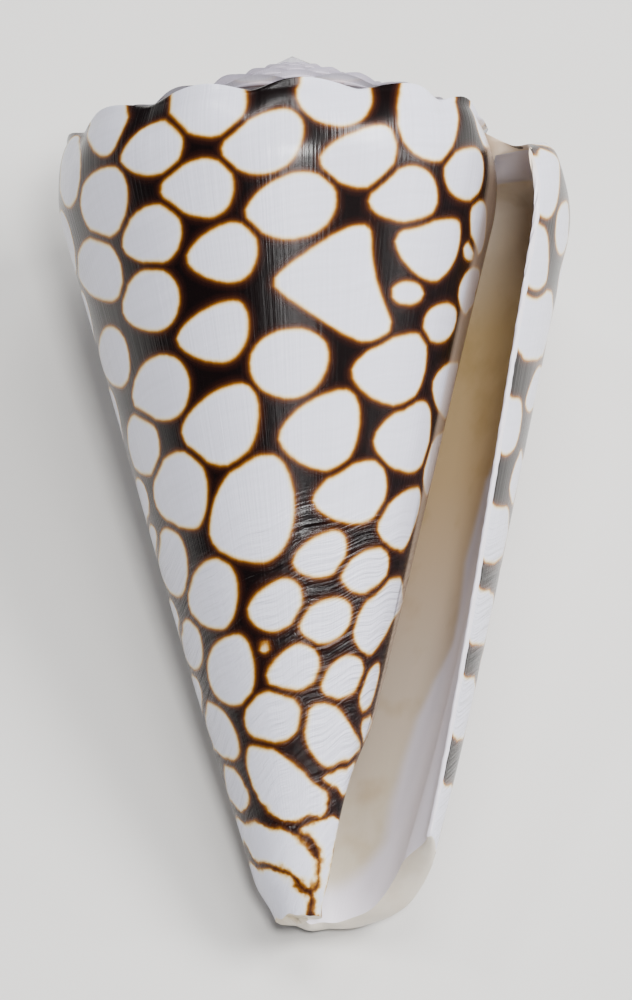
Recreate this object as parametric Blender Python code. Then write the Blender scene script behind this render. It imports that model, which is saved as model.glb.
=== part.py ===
"""A marble cone shell lying on its back with the mouth up. Metres, +Z up.

The shell is one piece that grew by coiling, so it is one solid: a conical body coil, a low spire of
knobbed coils, and a long mouth that leads into the last half turn. `turn` counts coils back from the
lip: 0 at the lip, 1 one coil earlier. Every coil is the next one made smaller by the same ratio.
"""

import math

import bmesh
import bpy
from mathutils import Matrix, Vector

MM = 0.001

# Driving dimensions of the shell, in metres, at the lip unless a line says otherwise
LENGTH = 80.0 * MM
GROWTH_PER_TURN = 1.30
TURNS = 8.0
CONE_RADIUS = 29.95 * MM
CONE_TAPER = 0.281
LIP_FLARE = 0.037
LIP_FLARE_TURNS = 0.25
SHOULDER_DEPTH = 18.1 * MM
SHOULDER_ROUNDING = 43.0
SUTURE_DEPTH = 10.2 * MM
CORE_RADIUS = 1.1 * MM

# Knobs along the shoulder: where some of them stand, counted from the first one in front
KNOBS_PER_TURN = 12.5
KNOB_TURNS = ((0, 0.600), (1, 0.678), (2, 0.768), (3, 0.842), (4, 0.932), (5, 0.994), (15, 1.801), (16, 1.883))
KNOB_RISE = 1.1 * MM
KNOB_SWELL = 0.75 * MM
KNOB_FADE_DEPTH = 15.0 * MM

# The ramp from the suture out to the knobbed crest, as (radius, depth below the crest)
CREST_DEPTH = 9.35 * MM
RAMP = ((19.5 * MM, -0.7 * MM), (21.0 * MM, 0.3 * MM), (22.7 * MM, 0.35 * MM), (24.0 * MM, 0.0 * MM))
KNOB_SHARE = (0.0, 0.15, 0.65, 1.0)

# The lip's shoulder hangs a little lower than the coil behind it
LIP_SHOULDER_DROP = 2.0 * MM
LIP_SHOULDER_TURNS = 0.12

# How far growth lines run back from the shoulder to the suture, in columns, and how that is shared out by row
NOTCH_STEPS = 4
NOTCH_SHARE = (0.85, 0.6, 0.35, 0.15, 0.05, 0.0)
CREST_OUTER_DROP = 0.5 * MM

# The mouth and the wall of the last coil
LIP_AZIMUTH = math.radians(-31.0)
LIP_SWEEP = math.radians(4.0)
LIP_SWEEP_TURNS = 0.3
CAVITY_TURNS = 0.55
LIP_THICKNESS = 0.5 * MM
WALL_THICKNESS = 1.5 * MM
BASE_WALL_THICKNESS = 3.0 * MM
LIP_BEVEL_TURNS = 0.06

# The front end, where the mouth opens as a canal
LIP_CORNER_LIFT = 6.5 * MM
LIP_CORNER_TURNS = 0.24
TIP_ROUND_DEPTH = 76.5 * MM
TIP_ROUND_SHARE = 0.84
FASCIOLE_DEPTH = 78.3 * MM
FASCIOLE_SWELL = 0.35 * MM
FASCIOLE_WIDTH = 5.0 * MM
SIDE_BULGE = 0.85 * MM
INNER_TAPER_EASE = 0.005
FOOT_HOLLOW = 4.1 * MM
MOUTH_HOLLOW = 1.3 * MM

# How finely the solid is drawn
STEPS_PER_TURN = 56
SIDE_ROWS = 13

# How the shell lies: the turn about its own axis, the lift of the spire end, and the worn contact spots
REST_ROLL = math.radians(-1.2)
REST_PITCH = math.radians(14.3)
WORN_DEPTH = 0.2 * MM

CREAM = (0.86, 0.83, 0.78, 1.0)


def smooth(share):
    """Eases from 0 to 1 as share runs from 0 to 1."""
    share = min(max(share, 0.0), 1.0)
    return share * share * (3.0 - 2.0 * share)


def growth(turn):
    """Size of the coil there, as a share of its size at the lip."""
    return GROWTH_PER_TURN**-turn


def taper(turn):
    """How fast the cone narrows; the last quarter turn flares a little, and so does the part inside the mouth."""
    flare = LIP_FLARE * math.exp(-((turn / LIP_FLARE_TURNS) ** 2))
    return CONE_TAPER - flare - INNER_TAPER_EASE * smooth((turn - 0.8) / 0.25)


def knob(turn):
    """1 on top of a shoulder knob and 0 in the notch between two."""
    first, last = KNOB_TURNS[0], KNOB_TURNS[-1]
    count = first[0] + (turn - first[1]) * KNOBS_PER_TURN
    if turn > last[1]:
        count = last[0] + (turn - last[1]) * KNOBS_PER_TURN
    for (before, start), (after, end) in zip(KNOB_TURNS, KNOB_TURNS[1:]):
        if start < turn <= end:
            count = before + (after - before) * (turn - start) / (end - start)
    return abs(math.cos(math.pi * count)) ** 1.3


def lip_drop(turn):
    """How much lower the shoulder hangs close to the lip."""
    return LIP_SHOULDER_DROP * math.exp(-((turn / LIP_SHOULDER_TURNS) ** 2))


def wall_radius(turn, depth):
    """Radius of the coil's outside at a depth below the apex, from the shoulder down."""
    size = growth(turn)
    shoulder = max(SHOULDER_DEPTH + 0.5 * lip_drop(turn) - depth / size, 0.0)
    radius = size * (CONE_RADIUS - SHOULDER_ROUNDING * shoulder**2) - taper(turn) * depth
    fade = 1.0 - smooth((depth / size - SUTURE_DEPTH) / (KNOB_FADE_DEPTH - SUTURE_DEPTH))
    radius += size * KNOB_SWELL * (knob(turn) - 0.5) * fade
    share = depth / LENGTH
    radius += SIDE_BULGE * 2.6 * share**2 * (1.0 - share**3)
    fasciole = math.exp(-(((depth - FASCIOLE_DEPTH) / FASCIOLE_WIDTH) ** 2))
    radius += FASCIOLE_SWELL * fasciole * smooth((turn - 0.35) / 0.2)
    inside = smooth((turn - 0.95) / 0.15)
    radius -= inside * FOOT_HOLLOW * smooth((depth - 62.0 * MM) / (14.0 * MM))
    radius -= inside * MOUTH_HOLLOW * size * smooth((22.0 * MM - depth / size) / (10.0 * MM))
    if turn > LIP_CORNER_TURNS:
        tip = smooth((depth - TIP_ROUND_DEPTH) / (LENGTH - TIP_ROUND_DEPTH))
        radius *= 1.0 - (1.0 - TIP_ROUND_SHARE) * tip * smooth((turn - 0.3) / 0.2)
    spare = radius - CORE_RADIUS
    return CORE_RADIUS + 0.5 * (spare + math.hypot(spare, 0.5 * MM))


def base_depth(turn):
    """Depth of the front end's edge; the lip's corner there is rounded up."""
    return LENGTH - LIP_CORNER_LIFT * (1.0 - smooth(turn / LIP_CORNER_TURNS)) ** 2


def wall_thickness(turn, depth):
    """The wall is thin at the lip's edge and thickens inwards and towards the front end."""
    full = WALL_THICKNESS + (BASE_WALL_THICKNESS - WALL_THICKNESS) * (depth / LENGTH) ** 2
    return LIP_THICKNESS + (full - LIP_THICKNESS) * smooth(turn / LIP_BEVEL_TURNS)


def side_depths(turn):
    """Depths of the rows from the suture line down to the front end, closer together near the ends."""
    top, base = (SUTURE_DEPTH + lip_drop(turn)) * growth(turn), base_depth(turn)
    shares = [row / SIDE_ROWS for row in range(1, SIDE_ROWS + 1)]
    return [top + (base - top) * (0.55 * s + 0.45 * smooth(s)) for s in shares]


def ramp_profile(column_turn):
    """(turn, radius, depth) of the rows across the ramp, over the crest and down to the suture line."""
    rows = []
    for row, share in enumerate(NOTCH_SHARE):
        turn = column_turn + share * NOTCH_STEPS / STEPS_PER_TURN
        size, bump = growth(turn), knob(turn)
        if row < len(RAMP):
            radius, drop = RAMP[row]
            swell = KNOB_SWELL * (bump - 0.5) * KNOB_SHARE[row]
            rise = KNOB_RISE * (bump - 0.4) * KNOB_SHARE[row]
            rise -= lip_drop(turn) * (0.3 + 0.7 * KNOB_SHARE[row])
            rows.append((turn, size * (radius + swell), size * (CREST_DEPTH + drop - rise)))
        else:
            depth = CREST_DEPTH + CREST_OUTER_DROP + lip_drop(turn) - 0.7 * KNOB_RISE * (bump - 0.4)
            if row > len(RAMP):
                depth = SUTURE_DEPTH + lip_drop(turn)
            rows.append((turn, wall_radius(turn, size * depth), size * depth))
    return rows


def outer_profile(turn):
    """(turn, radius, depth) of every row below the suture of the coil, ramp first, then the side."""
    return ramp_profile(turn) + [(turn, wall_radius(turn, depth), depth) for depth in side_depths(turn)]


def inner_profile(column_turn):
    """(turn, radius, depth) of the mouth's inside, from the roof round the shoulder and down to the front end."""
    bend_rows = len(NOTCH_SHARE)
    rows = []
    for row, share in enumerate(NOTCH_SHARE, start=1):
        turn = column_turn + share * NOTCH_STEPS / STEPS_PER_TURN
        size = growth(turn)
        roof_wall = wall_thickness(column_turn, 0.0)
        roof = size * (CREST_DEPTH + RAMP[1][1]) + roof_wall
        start = wall_radius(turn + 1.0, growth(turn + 1.0) * SUTURE_DEPTH + roof_wall)
        corner_depth = inner_corner_depth(column_turn)
        corner = wall_radius(turn, corner_depth) - wall_thickness(column_turn, corner_depth)
        angle = 0.5 * math.pi * row / bend_rows
        across = math.sin(angle) ** 0.8
        down = (1.0 - math.cos(angle)) ** 1.4
        rows.append((turn, start + (corner - start) * across, roof + (corner_depth - roof) * down))
    for depth in side_depths(column_turn):
        level = max(depth, inner_corner_depth(column_turn) + 0.4 * MM)
        rows.append((column_turn, wall_radius(column_turn, level) - wall_thickness(column_turn, level), level))
    return rows


def inner_corner_depth(turn):
    """Depth at which the mouth's rounded roof meets its side wall."""
    roof = growth(turn) * (CREST_DEPTH + RAMP[1][1]) + wall_thickness(turn, 0.0)
    return max(side_depths(turn)[0], roof + 1.6 * MM * growth(turn))


def place(turn, radius, depth):
    """The point of the shell at a turn, a radius and a depth, in the shell's own axes: spire to +Y, mouth to +Z."""
    sweep = LIP_SWEEP * (depth / LENGTH) ** 2 * max(0.0, 1.0 - turn / LIP_SWEEP_TURNS)
    azimuth = LIP_AZIMUTH + sweep + 2.0 * math.pi * turn
    return Vector((radius * math.cos(azimuth), -depth, -radius * math.sin(azimuth)))


def grow_shell():
    """The shell as a bmesh: columns of points one after another round the coils, joined into one closed skin."""
    mesh = bmesh.new()
    per_turn = STEPS_PER_TURN
    last = round(TURNS * per_turn)
    cavity = round(CAVITY_TURNS * per_turn)
    seam = len(NOTCH_SHARE)
    base = seam + SIDE_ROWS
    meet = per_turn + NOTCH_STEPS
    deep = meet + cavity
    apex = mesh.verts.new((0.0, 0.25 * MM, 0.0))
    outer = {}
    for column in range(last + 1):
        turn = column / per_turn
        rows = outer_profile(turn) if column <= deep else ramp_profile(turn)
        for row, point in enumerate(rows, start=1):
            outer[column, row] = mesh.verts.new(place(*point))
    for column in range(last + 1):
        outer[column, 0] = outer.get((column + meet, seam), apex)
    inner = {}
    for column in range(cavity + 1):
        inner[column, 0] = outer[column + meet, seam + 1]
        for row, point in enumerate(inner_profile(column / per_turn), start=1):
            inner[column, row] = mesh.verts.new(place(*point))

    def face(*corners):
        unique = list(dict.fromkeys(corners))
        if len(unique) > 2:
            mesh.faces.new(unique)

    for column in range(last):
        after = column + 1
        if column < meet:
            rows = range(base)
        elif column < deep:
            rows = [row for row in range(base) if row != seam]
        else:
            rows = range(seam)
        for row in rows:
            face(outer[column, row], outer[column, row + 1], outer[after, row + 1], outer[after, row])
    for column in range(cavity):
        after = column + 1
        for row in range(base):
            face(inner[column, row], inner[after, row], inner[after, row + 1], inner[column, row + 1])
        face(outer[column, base], inner[column, base], inner[after, base], outer[after, base])
    for row in range(base):
        face(outer[0, row], inner[0, row], inner[0, row + 1], outer[0, row + 1])
    face(*[inner[cavity, row] for row in range(seam + 2)])
    for row in range(seam + 1, base):
        face(inner[cavity, row], inner[cavity, row + 1], outer[deep, row + 1], outer[deep, row])
    face(*[outer[column, base] for column in range(cavity, deep + 1)], inner[cavity, base])
    face(apex, *[outer[last, row] for row in range(1, seam + 1)])
    bmesh.ops.recalc_face_normals(mesh, faces=mesh.faces)
    return mesh


def lie_down(mesh):
    """Turns the shell to the way it rests on a table, with small worn flats where it touches."""
    lift = Matrix.Rotation(REST_PITCH, 4, "X") @ Matrix.Rotation(REST_ROLL, 4, "Y")
    bmesh.ops.transform(mesh, matrix=lift, verts=mesh.verts)
    floor = min(vertex.co.z for vertex in mesh.verts) + WORN_DEPTH
    parts = list(mesh.verts) + list(mesh.edges) + list(mesh.faces)
    cut = bmesh.ops.bisect_plane(
        mesh, geom=parts, plane_co=(0.0, 0.0, floor), plane_no=(0.0, 0.0, -1.0), clear_outer=True
    )
    rim = [item for item in cut["geom_cut"] if isinstance(item, bmesh.types.BMEdge)]
    bmesh.ops.holes_fill(mesh, edges=rim, sides=0)
    xs = [vertex.co.x for vertex in mesh.verts]
    ys = [vertex.co.y for vertex in mesh.verts]
    middle = Vector(((max(xs) + min(xs)) / 2, (max(ys) + min(ys)) / 2, floor))
    bmesh.ops.translate(mesh, vec=-middle, verts=mesh.verts)


def shell_material():
    """Glossy cream porcelain, the shell's ground colour."""
    material = bpy.data.materials.new("shell_porcelain")
    material.use_nodes = True
    surface = material.node_tree.nodes["Principled BSDF"]
    surface.inputs["Base Color"].default_value = CREAM
    surface.inputs["Roughness"].default_value = 0.25
    surface.inputs["Metallic"].default_value = 0.0
    return material


def main():
    """Builds the shell as one object."""
    for obj in list(bpy.data.objects):
        bpy.data.objects.remove(obj)
    mesh = grow_shell()
    lie_down(mesh)
    bmesh.ops.triangulate(mesh, faces=mesh.faces)
    data = bpy.data.meshes.new("cone_shell")
    mesh.to_mesh(data)
    mesh.free()
    data.materials.append(shell_material())
    data.shade_smooth()
    data.set_sharp_from_angle(angle=math.radians(40.0))
    bpy.context.scene.collection.objects.link(bpy.data.objects.new("cone_shell", data))


main()
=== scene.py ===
"""A marble cone shell, dressed: the grown form, its white tents on a dark net, and a plain studio."""

import logging
import math
from collections.abc import Iterator
from dataclasses import dataclass, field
from enum import Enum

import bpy
import numpy as np
from mathutils import Matrix, Vector

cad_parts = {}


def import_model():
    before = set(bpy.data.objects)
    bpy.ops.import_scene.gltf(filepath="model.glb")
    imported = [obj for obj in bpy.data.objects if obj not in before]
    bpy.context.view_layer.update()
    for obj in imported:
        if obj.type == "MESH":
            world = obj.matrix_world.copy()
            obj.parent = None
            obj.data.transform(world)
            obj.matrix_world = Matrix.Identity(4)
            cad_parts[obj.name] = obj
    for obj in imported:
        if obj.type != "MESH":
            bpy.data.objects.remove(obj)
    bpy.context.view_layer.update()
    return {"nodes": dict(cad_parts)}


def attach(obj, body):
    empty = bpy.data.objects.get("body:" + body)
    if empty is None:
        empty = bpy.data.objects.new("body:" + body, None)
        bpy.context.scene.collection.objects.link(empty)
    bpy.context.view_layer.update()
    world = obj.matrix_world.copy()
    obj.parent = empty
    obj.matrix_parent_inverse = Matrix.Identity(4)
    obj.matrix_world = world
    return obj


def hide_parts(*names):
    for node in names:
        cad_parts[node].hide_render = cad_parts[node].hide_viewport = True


LOG = logging.getLogger("cone_shell")
MM = 0.001
NET_HALF_WIDTH = 0.32
TENT_LAYERS = ("tent_a", "tent_b", "tent_c", "tent_d")
LAYER_SHIFT = 2.0


def smooth(share: np.ndarray) -> np.ndarray:
    """Eases from 0 to 1 as share runs from 0 to 1."""
    share = np.clip(share, 0.0, 1.0)
    return share * share * (3.0 - 2.0 * share)


def linear_colour(code: str) -> tuple[float, float, float, float]:
    """Turns an sRGB hex colour into the linear one that a shader takes.

    Args:
        code: Six hex digits, such as "e1dfe4".

    Returns:
        Linear red, green, blue and an alpha of 1.
    """
    parts = [int(code[start : start + 2], 16) / 255.0 for start in (0, 2, 4)]
    line = [part / 12.92 if part <= 0.04045 else ((part + 0.055) / 1.055) ** 2.4 for part in parts]
    return (line[0], line[1], line[2], 1.0)


def add_node(tree: bpy.types.NodeTree, kind: str, settings: dict | None = None, **links: object) -> bpy.types.Node:
    """Adds one shader node with its settings and its links.

    Args:
        tree: The material's node tree.
        kind: The node's type name, such as "ShaderNodeMix".
        settings: Attributes of the node, and sockets by their number or name.
        links: in_NUMBER or in_Name set to another node's output socket.

    Returns:
        The new node.
    """
    node = tree.nodes.new(kind)
    for name, value in (settings or {}).items():
        if isinstance(name, str) and hasattr(node, name):
            setattr(node, name, value)
        else:
            node.inputs[name].default_value = value
    for name, output in links.items():
        key = name[3:].replace("_", " ")
        tree.links.new(output, node.inputs[int(key) if key.isdigit() else key])
    return node


def ramp_colours(node: bpy.types.Node, stops: tuple[tuple[float, str], ...]) -> None:
    """Sets a colour ramp's stops.

    Args:
        node: The ColorRamp node.
        stops: (position, sRGB hex) from left to right.
    """
    elements = node.color_ramp.elements
    while len(elements) < len(stops):
        elements.new(0.5)
    for element, (position, code) in zip(elements, stops):
        element.position = position
        element.color = linear_colour(code)


@dataclass(frozen=True)
class CoilShape:
    """How the shell grows, with the sizes of the frame's solid. Lengths are in millimetres at the lip.

    A turn counts coils back from the lip: 0 at the lip and 1 one coil earlier.
    """

    length: float = 80.0
    growth_per_turn: float = 1.30
    cone_radius: float = 29.95
    cone_taper: float = 0.281
    lip_flare: float = 0.037
    lip_flare_turns: float = 0.25
    shoulder_depth: float = 18.1
    shoulder_rounding: float = 0.043
    suture_depth: float = 10.2
    core_radius: float = 1.1
    knobs_per_turn: float = 12.5
    knob_counts: tuple[int, ...] = (0, 1, 2, 3, 4, 5, 15, 16)
    knob_turns: tuple[float, ...] = (0.600, 0.678, 0.768, 0.842, 0.932, 0.994, 1.801, 1.883)
    lip_seat_turn: float = 1.06
    lip_seat_turns: float = 0.04
    knob_rise: float = 1.1
    knob_swell: float = 0.75
    knob_fade_depth: float = 15.0
    crest_depth: float = 9.35
    crest_outer_drop: float = 0.5
    ramp: tuple[tuple[float, float], ...] = ((19.5, -0.7), (21.0, 0.3), (22.7, 0.35), (24.0, 0.0))
    knob_share: tuple[float, ...] = (0.0, 0.15, 0.65, 1.0)
    notch_share: tuple[float, ...] = (1.0, 0.85, 0.6, 0.35, 0.15, 0.05, 0.0)
    notch_turns: float = 4.0 / 56.0
    lip_shoulder_drop: float = 2.0
    lip_shoulder_turns: float = 0.12
    lip_azimuth: float = math.radians(-31.0)
    lip_sweep: float = math.radians(4.0)
    lip_sweep_turns: float = 0.3
    lip_thickness: float = 0.5
    wall: float = 1.5
    base_wall: float = 3.0
    lip_bevel_turns: float = 0.06
    lip_corner_lift: float = 6.5
    lip_corner_turns: float = 0.24
    tip_round_depth: float = 76.5
    tip_round_share: float = 0.84
    fasciole_depth: float = 78.3
    fasciole_swell: float = 0.35
    fasciole_width: float = 5.0
    side_bulge: float = 0.85
    inner_taper_ease: float = 0.005
    foot_hollow: float = 4.1
    mouth_hollow: float = 1.3

    def growth(self, turn: np.ndarray) -> np.ndarray:
        """Size of the coil there, as a share of its size at the lip."""
        return self.growth_per_turn ** -turn

    def taper(self, turn: np.ndarray) -> np.ndarray:
        """How fast the cone narrows at a turn."""
        flare = self.lip_flare * np.exp(-((turn / self.lip_flare_turns) ** 2))
        return self.cone_taper - flare - self.inner_taper_ease * smooth((turn - 0.8) / 0.25)

    def knob(self, turn: np.ndarray) -> np.ndarray:
        """1 on top of a shoulder knob and 0 in the notch between two."""
        count = np.interp(turn, self.knob_turns, self.knob_counts)
        count = count + np.minimum(turn - self.knob_turns[0], 0.0) * self.knobs_per_turn
        count = count + np.maximum(turn - self.knob_turns[-1], 0.0) * self.knobs_per_turn
        under_lip = np.exp(-(((turn - self.lip_seat_turn) / self.lip_seat_turns) ** 2))
        return np.abs(np.cos(math.pi * count)) ** 1.3 * (1.0 - under_lip)

    def lip_drop(self, turn: np.ndarray) -> np.ndarray:
        """How much lower the shoulder hangs close to the lip."""
        return self.lip_shoulder_drop * np.exp(-((turn / self.lip_shoulder_turns) ** 2))

    def wall_radius(self, turn: np.ndarray, depth: np.ndarray) -> np.ndarray:
        """Radius of the coil's outside.

        Args:
            turn: Turns back from the lip.
            depth: Depth below the apex.

        Returns:
            The radius about the axis.
        """
        size = self.growth(turn)
        shoulder = np.maximum(self.shoulder_depth + 0.5 * self.lip_drop(turn) - depth / size, 0.0)
        radius = size * (self.cone_radius - self.shoulder_rounding * shoulder**2) - self.taper(turn) * depth
        fade = 1.0 - smooth((depth / size - self.suture_depth) / (self.knob_fade_depth - self.suture_depth))
        radius = radius + size * self.knob_swell * (self.knob(turn) - 0.5) * fade
        share = depth / self.length
        radius = radius + self.side_bulge * 2.6 * share**2 * (1.0 - share**3)
        fasciole = np.exp(-(((depth - self.fasciole_depth) / self.fasciole_width) ** 2))
        radius = radius + self.fasciole_swell * fasciole * smooth((turn - 0.35) / 0.2)
        inside = smooth((turn - 0.95) / 0.15)
        radius = radius - inside * self.foot_hollow * smooth((depth - 62.0) / 14.0)
        radius = radius - inside * self.mouth_hollow * size * smooth((22.0 - depth / size) / 10.0)
        tip = smooth((depth - self.tip_round_depth) / (self.length - self.tip_round_depth))
        radius = radius * (1.0 - (1.0 - self.tip_round_share) * tip * smooth((turn - 0.3) / 0.2))
        spare = radius - self.core_radius
        return self.core_radius + 0.5 * (spare + np.hypot(spare, 0.5))

    def base_depth(self, turn: np.ndarray) -> np.ndarray:
        """Depth of the front end's edge, a little uneven as it grew."""
        lift = self.lip_corner_lift * (1.0 - smooth(turn / self.lip_corner_turns)) ** 2
        uneven = 0.16 * np.sin(23.0 * turn + 0.6) + 0.1 * np.sin(61.0 * turn)
        return self.length - lift + uneven * smooth((0.9 - turn) / 0.2)

    def thickness(self, turn: np.ndarray, depth: np.ndarray) -> np.ndarray:
        """Thickness of the wall, thin at the lip's edge."""
        full = self.wall + (self.base_wall - self.wall) * (depth / self.length) ** 2
        return self.lip_thickness + (full - self.lip_thickness) * smooth(turn / self.lip_bevel_turns)

    def place(self, turn: np.ndarray, radius: np.ndarray, depth: np.ndarray) -> np.ndarray:
        """Points in the shell's own axes: spire to +Y, mouth to +Z.

        Args:
            turn: Turns back from the lip.
            radius: Radius about the axis.
            depth: Depth below the apex.

        Returns:
            The points, with x, y and z last.
        """
        fade = np.maximum(0.0, 1.0 - turn / self.lip_sweep_turns)
        sweep = self.lip_sweep * (depth / self.length) ** 2 * fade
        chips = 0.0030 * np.sin(1.7 * depth) * np.sin(0.43 * depth + 1.0) + 0.0022 * np.sin(4.1 * depth)
        sweep = sweep + chips * np.exp(-turn / 0.006)
        azimuth = self.lip_azimuth + sweep + 2.0 * math.pi * turn
        return np.stack([radius * np.cos(azimuth), -depth + 0.0 * azimuth, -radius * np.sin(azimuth)], axis=-1)


@dataclass(frozen=True)
class MeshSteps:
    """How finely the shell is drawn."""

    per_turn: int = 248
    turns: int = 8
    ramp_rows: int = 18
    side_rows: int = 108
    notch: int = 18
    cavity: int = 136
    edge: int = 6

    @property
    def last(self) -> int:
        """Number of the last column, at the apex."""
        return self.per_turn * self.turns

    @property
    def meet(self) -> int:
        """Columns back from a growth line's start at the suture to the coil it lies on."""
        return self.per_turn + self.notch

    @property
    def deep(self) -> int:
        """Number of the last column with a side below the suture."""
        return self.meet + self.cavity

    @property
    def base(self) -> int:
        """Number of the row along the front end."""
        return self.ramp_rows + self.side_rows


@dataclass
class Sheet:
    """One sheet of the shell's skin, as a grid of points with what the finishes read at each."""

    name: str
    points: np.ndarray
    turn: np.ndarray
    along: np.ndarray
    values: dict[str, np.ndarray] = field(default_factory=dict)


class GrownForm:
    """Works out the sheets of the shell from its growth."""

    def __init__(self, shape: CoilShape, steps: MeshSteps) -> None:
        """Keeps the shape and the steps, and grows the outside."""
        self.shape = shape
        self.steps = steps
        self.turns = np.arange(steps.last + 1) / steps.per_turn
        self.outside = self._outside()

    def _ramp_nodes(self, columns: np.ndarray) -> np.ndarray:
        """(turn, radius, depth) of the ramp's seven nodes at each column."""
        shape = self.shape
        nodes = []
        for number, share in enumerate(shape.notch_share):
            turn = columns + share * shape.notch_turns
            size = shape.growth(turn)
            bump = shape.knob(turn)
            drop = shape.lip_drop(turn)
            if number == 0:
                older = turn + 1.0
                depth = shape.suture_depth * shape.growth(older)
                radius = shape.wall_radius(older, depth)
                closed = older > self.steps.turns
                radius = np.where(closed, 0.0, radius)
                depth = np.where(closed, -0.25, depth)
            elif number <= len(shape.ramp):
                radius, below = shape.ramp[number - 1]
                raised = shape.knob_share[number - 1]
                rise = shape.knob_rise * (bump - 0.4) * raised - drop * (0.3 + 0.7 * raised)
                radius = size * (radius + shape.knob_swell * (bump - 0.5) * raised)
                depth = size * (shape.crest_depth + below - rise)
            elif number == 5:
                rise = 0.7 * shape.knob_rise * (bump - 0.4)
                depth = size * (shape.crest_depth + shape.crest_outer_drop + drop - rise)
                radius = shape.wall_radius(turn, depth)
            else:
                depth = size * (shape.suture_depth + drop)
                radius = shape.wall_radius(turn, depth)
            nodes.append(np.stack([turn, radius, depth], axis=-1))
        return np.array(nodes)

    def _side_depths(self, turn: np.ndarray, top: np.ndarray) -> np.ndarray:
        """Depths of the side's rows, closer together near the ends."""
        share = np.arange(1, self.steps.side_rows + 1) / self.steps.side_rows
        share = 0.7 * share + 0.3 * smooth(share)
        return top[:, None] + (self.shape.base_depth(turn) - top)[:, None] * share[None, :]

    def _outside(self) -> Sheet:
        """The outside from the suture to the front end, every coil after the other."""
        steps, shape = self.steps, self.shape
        nodes = self._ramp_nodes(self.turns)
        arc = (0.0, 1.2, 3.0, 4.7, 6.05, 6.85, 7.3)
        where = np.interp(np.linspace(0.0, arc[-1], steps.ramp_rows + 1), arc, range(7))
        rows = [catmull_rom(nodes, spot) for spot in where]
        turn = self.turns
        top = shape.growth(turn) * (shape.suture_depth + shape.lip_drop(turn))
        depths = self._side_depths(turn, top)
        radii = shape.wall_radius(turn[:, None], depths)
        sides = np.stack([np.repeat(turn[:, None], depths.shape[1], axis=1), radii, depths], axis=-1)
        grown = np.concatenate([np.stack(rows, axis=1), sides], axis=1)
        points = shape.place(grown[..., 0], grown[..., 1], grown[..., 2])
        steps_along = np.linalg.norm(np.diff(points, axis=1), axis=-1)
        along = np.concatenate([np.zeros((len(turn), 1)), np.cumsum(steps_along, axis=1)], axis=1)
        crest = int(round(np.interp(4.0, where, np.arange(len(where)))))
        along = along - along[:, crest : crest + 1]
        sheet = Sheet("outside", points, grown[..., 0], along)
        sheet.values["radius"] = grown[..., 1]
        sheet.values["depth"] = grown[..., 2]
        self._weld_sutures(sheet)
        return sheet

    def _weld_sutures(self, sheet: Sheet) -> None:
        """Puts each column's first point exactly on the coil it grows from."""
        steps = self.steps
        reach = steps.last - steps.meet + 1
        seam = sheet.points[steps.meet : steps.last + 1, steps.ramp_rows]
        sheet.points[:reach, 0] = seam
        sheet.points[reach:, 0] = (0.0, 0.25, 0.0)

    def lining(self) -> Sheet:
        """The inside of the mouth, from the roof round the shoulder and down to the front end."""
        steps, shape = self.steps, self.shape
        turn = self.turns[: steps.cavity + 1]
        size = shape.growth(turn)
        roof_wall = shape.thickness(turn, 0.0 * turn)
        roof = size * (shape.crest_depth + shape.ramp[1][1]) + roof_wall
        top = size * (shape.suture_depth + shape.lip_drop(turn)) + 3.2 * size
        corner_depth = np.maximum(top, roof + 1.6 * size)
        rows = []
        for row in range(1, steps.ramp_rows + 1):
            share = row / steps.ramp_rows
            back = turn + shape.notch_turns * (1.0 - share)
            older = back + 1.0
            start = shape.wall_radius(older, shape.growth(older) * shape.suture_depth + roof_wall)
            corner = shape.wall_radius(back, corner_depth) - shape.thickness(turn, corner_depth)
            angle = 0.5 * math.pi * share
            across = math.sin(angle) ** 0.8
            down = (1.0 - math.cos(angle)) ** 1.4
            rows.append(np.stack([back, start + (corner - start) * across, roof + (corner_depth - roof) * down], -1))
        depths = self._side_depths(turn, corner_depth)
        radii = shape.wall_radius(turn[:, None], depths) - shape.thickness(turn[:, None], depths)
        sides = np.stack([np.repeat(turn[:, None], depths.shape[1], axis=1), radii, depths], axis=-1)
        grown = np.concatenate([np.stack(rows, axis=1), sides], axis=1)
        points = shape.place(grown[..., 0], grown[..., 1], grown[..., 2])
        first = self.outside.points[steps.meet : steps.deep + 1, steps.ramp_rows + steps.edge]
        points = np.concatenate([first[:, None], points], axis=1)
        turns = np.repeat(turn[:, None], points.shape[1], axis=1)
        return Sheet("lining", points, turns, -points[..., 1])

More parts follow.
